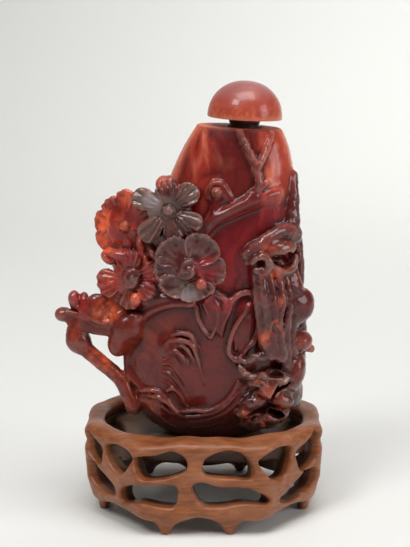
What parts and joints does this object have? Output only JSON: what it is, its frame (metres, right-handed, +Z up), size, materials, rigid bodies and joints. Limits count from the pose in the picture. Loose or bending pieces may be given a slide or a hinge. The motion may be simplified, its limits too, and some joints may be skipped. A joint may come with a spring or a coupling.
{
  "type": "carved snuff bottle on a stand",
  "caption": "Translucent red-brown agate snuff bottle carved in deep relief with blossoms, fungus and a hollow trunk, with a domed stopper, on a pierced carved wooden stand.",
  "frame": {"origin": "under the middle of the whole object's box, on the surface that the stand's feet touch", "axes": "+Z up, -Y towards the carved front with the blossoms, +X towards the side with the hollow trunk"},
  "size_m": [0.0562, 0.0426, 0.0909],
  "materials": {
    "agate": "polished carved stone, faintly translucent",
    "pale_agate": "polished stone, translucent at its edge",
    "dark_wood": "dark and satin",
    "root_wood": "waxed, dusty in its hollows"
  },
  "bodies": {
    "root": {"bottle": "agate", "stopper": "pale_agate", "plug": "dark_wood", "stand": "root_wood"}
  },
  "joints": []
}
